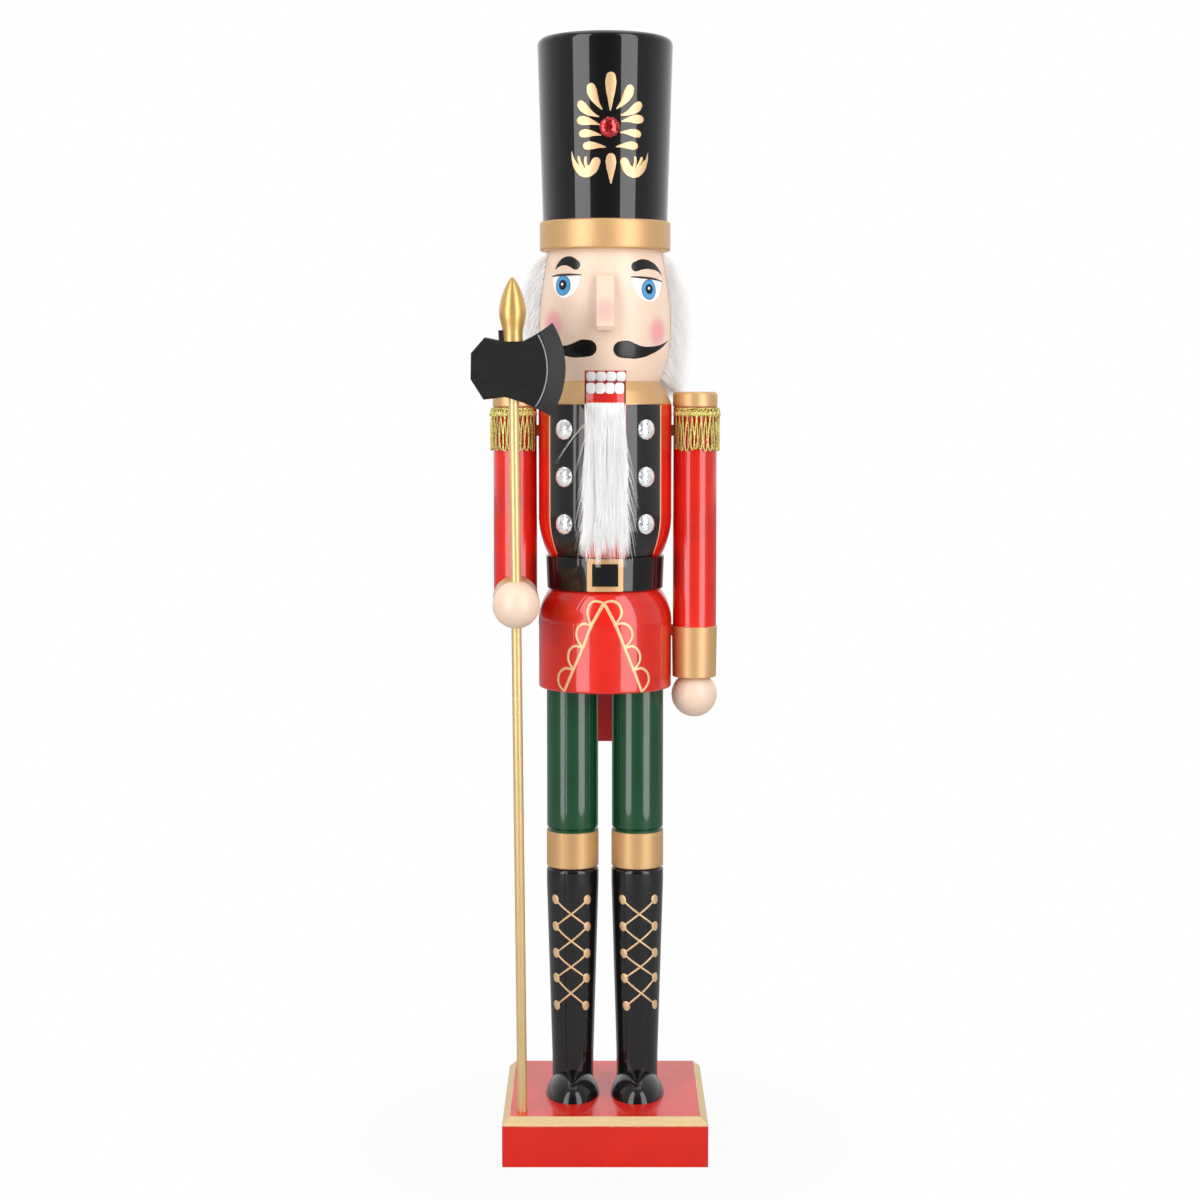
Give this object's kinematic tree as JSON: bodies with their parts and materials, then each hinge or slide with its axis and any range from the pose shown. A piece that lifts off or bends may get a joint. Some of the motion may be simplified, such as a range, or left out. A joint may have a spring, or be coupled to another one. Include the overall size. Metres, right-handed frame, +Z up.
{
  "type": "nutcracker figure",
  "caption": "Tall painted wooden nutcracker soldier on a square plinth, with a lever jaw, fur hair and beard, and a lift-out axe staff.",
  "frame": {"origin": "centre of the plinth's underside", "axes": "+Z up; the figure faces -Y, so its own left is +X"},
  "size_m": [0.1338, 0.13, 0.6096],
  "materials": {
    "plinth_paint": "glossy red lacquer with a gold bevel",
    "boot_black": "glossy black lacquer with painted gold lacing",
    "shoe_black": "glossy black lacquer",
    "belt_black": "satin black lacquer",
    "gold_paint": "satin metallic gold paint",
    "green_lacquer": "glossy green lacquer",
    "beech_dowel": "bare turned beech",
    "skirt_red": "glossy red lacquer with painted gold ornament",
    "coat_paint": "glossy red lacquer with black lapels and gold piping",
    "red_lacquer": "glossy red lacquer",
    "jaw_paint": "glossy red lacquer with painted teeth",
    "face_paint": "satin skin-coloured paint with painted features",
    "skin_paint": "satin skin-coloured paint",
    "hat_black": "glossy black lacquer with painted gold ornament",
    "white_fur": "long white faux fur",
    "gold_fringe": "looped metallic gold cord",
    "clear_stone": "faceted foil-backed clear stone",
    "red_stone": "faceted foil-backed red stone",
    "steel_pin": "ground steel wire",
    "staff_gold": "satin metallic gold paint",
    "finial_gold": "satin metallic gold paint",
    "axe_black": "satin black paint"
  },
  "bodies": {
    "figure": {"ankle_peg_left": "beech_dowel", "ankle_peg_right": "beech_dowel", "arm_left": "red_lacquer", "belt": "belt_black", "belt_buckle": "gold_paint", "boot_left": "boot_black", "boot_right": "boot_black", "coat_gems": "clear_stone", "collar": "gold_paint", "cuff_left": "gold_paint", "cuff_right": "gold_paint", "elbow_peg": "beech_dowel", "forearm_right": "red_lacquer", "hair": "white_fur", "hand_left": "skin_paint", "hand_right": "skin_paint", "hat_band": "gold_paint", "hat_crown": "hat_black", "hat_gem": "red_stone", "hat_peg": "beech_dowel", "head": "face_paint", "hip_peg_left": "beech_dowel", "hip_peg_right": "beech_dowel", "knee_band_left": "gold_paint", "knee_band_right": "gold_paint", "knee_peg_left": "beech_dowel", "knee_peg_right": "beech_dowel", "lever_pin": "steel_pin", "neck_peg_left": "beech_dowel", "neck_peg_right": "beech_dowel", "nose": "skin_paint", "plinth": "plinth_paint", "shoe_left": "shoe_black", "shoe_right": "shoe_black", "shoulder_cap_left": "gold_paint", "shoulder_cap_right": "gold_paint", "shoulder_fringe_left": "gold_fringe", "shoulder_fringe_right": "gold_fringe", "shoulder_peg_left": "beech_dowel", "shoulder_peg_right": "beech_dowel", "skirt": "skirt_red", "torso": "coat_paint", "trouser_leg_left": "green_lacquer", "trouser_leg_right": "green_lacquer", "upper_arm_right": "red_lacquer", "waist_peg": "beech_dowel", "wrist_peg_left": "beech_dowel", "wrist_peg_right": "beech_dowel"},
    "lever": {"jaw_lever": "jaw_paint", "beard": "white_fur"},
    "staff": {"staff_pole": "staff_gold", "axe_head": "axe_black", "spear_finial": "finial_gold"}
  },
  "joints": [
    {"name": "jaw_hinge", "type": "hinge", "parent": "figure", "child": "lever", "pos_m": [0, 0, 0.352], "axis": [1, 0, 0], "range_deg": [0, 15]},
    {"name": "staff_lift", "type": "slide", "parent": "figure", "child": "staff", "axis": [-0.0068, -0.0578, 0.9983], "range_m": [0, 0.305]}
  ]
}
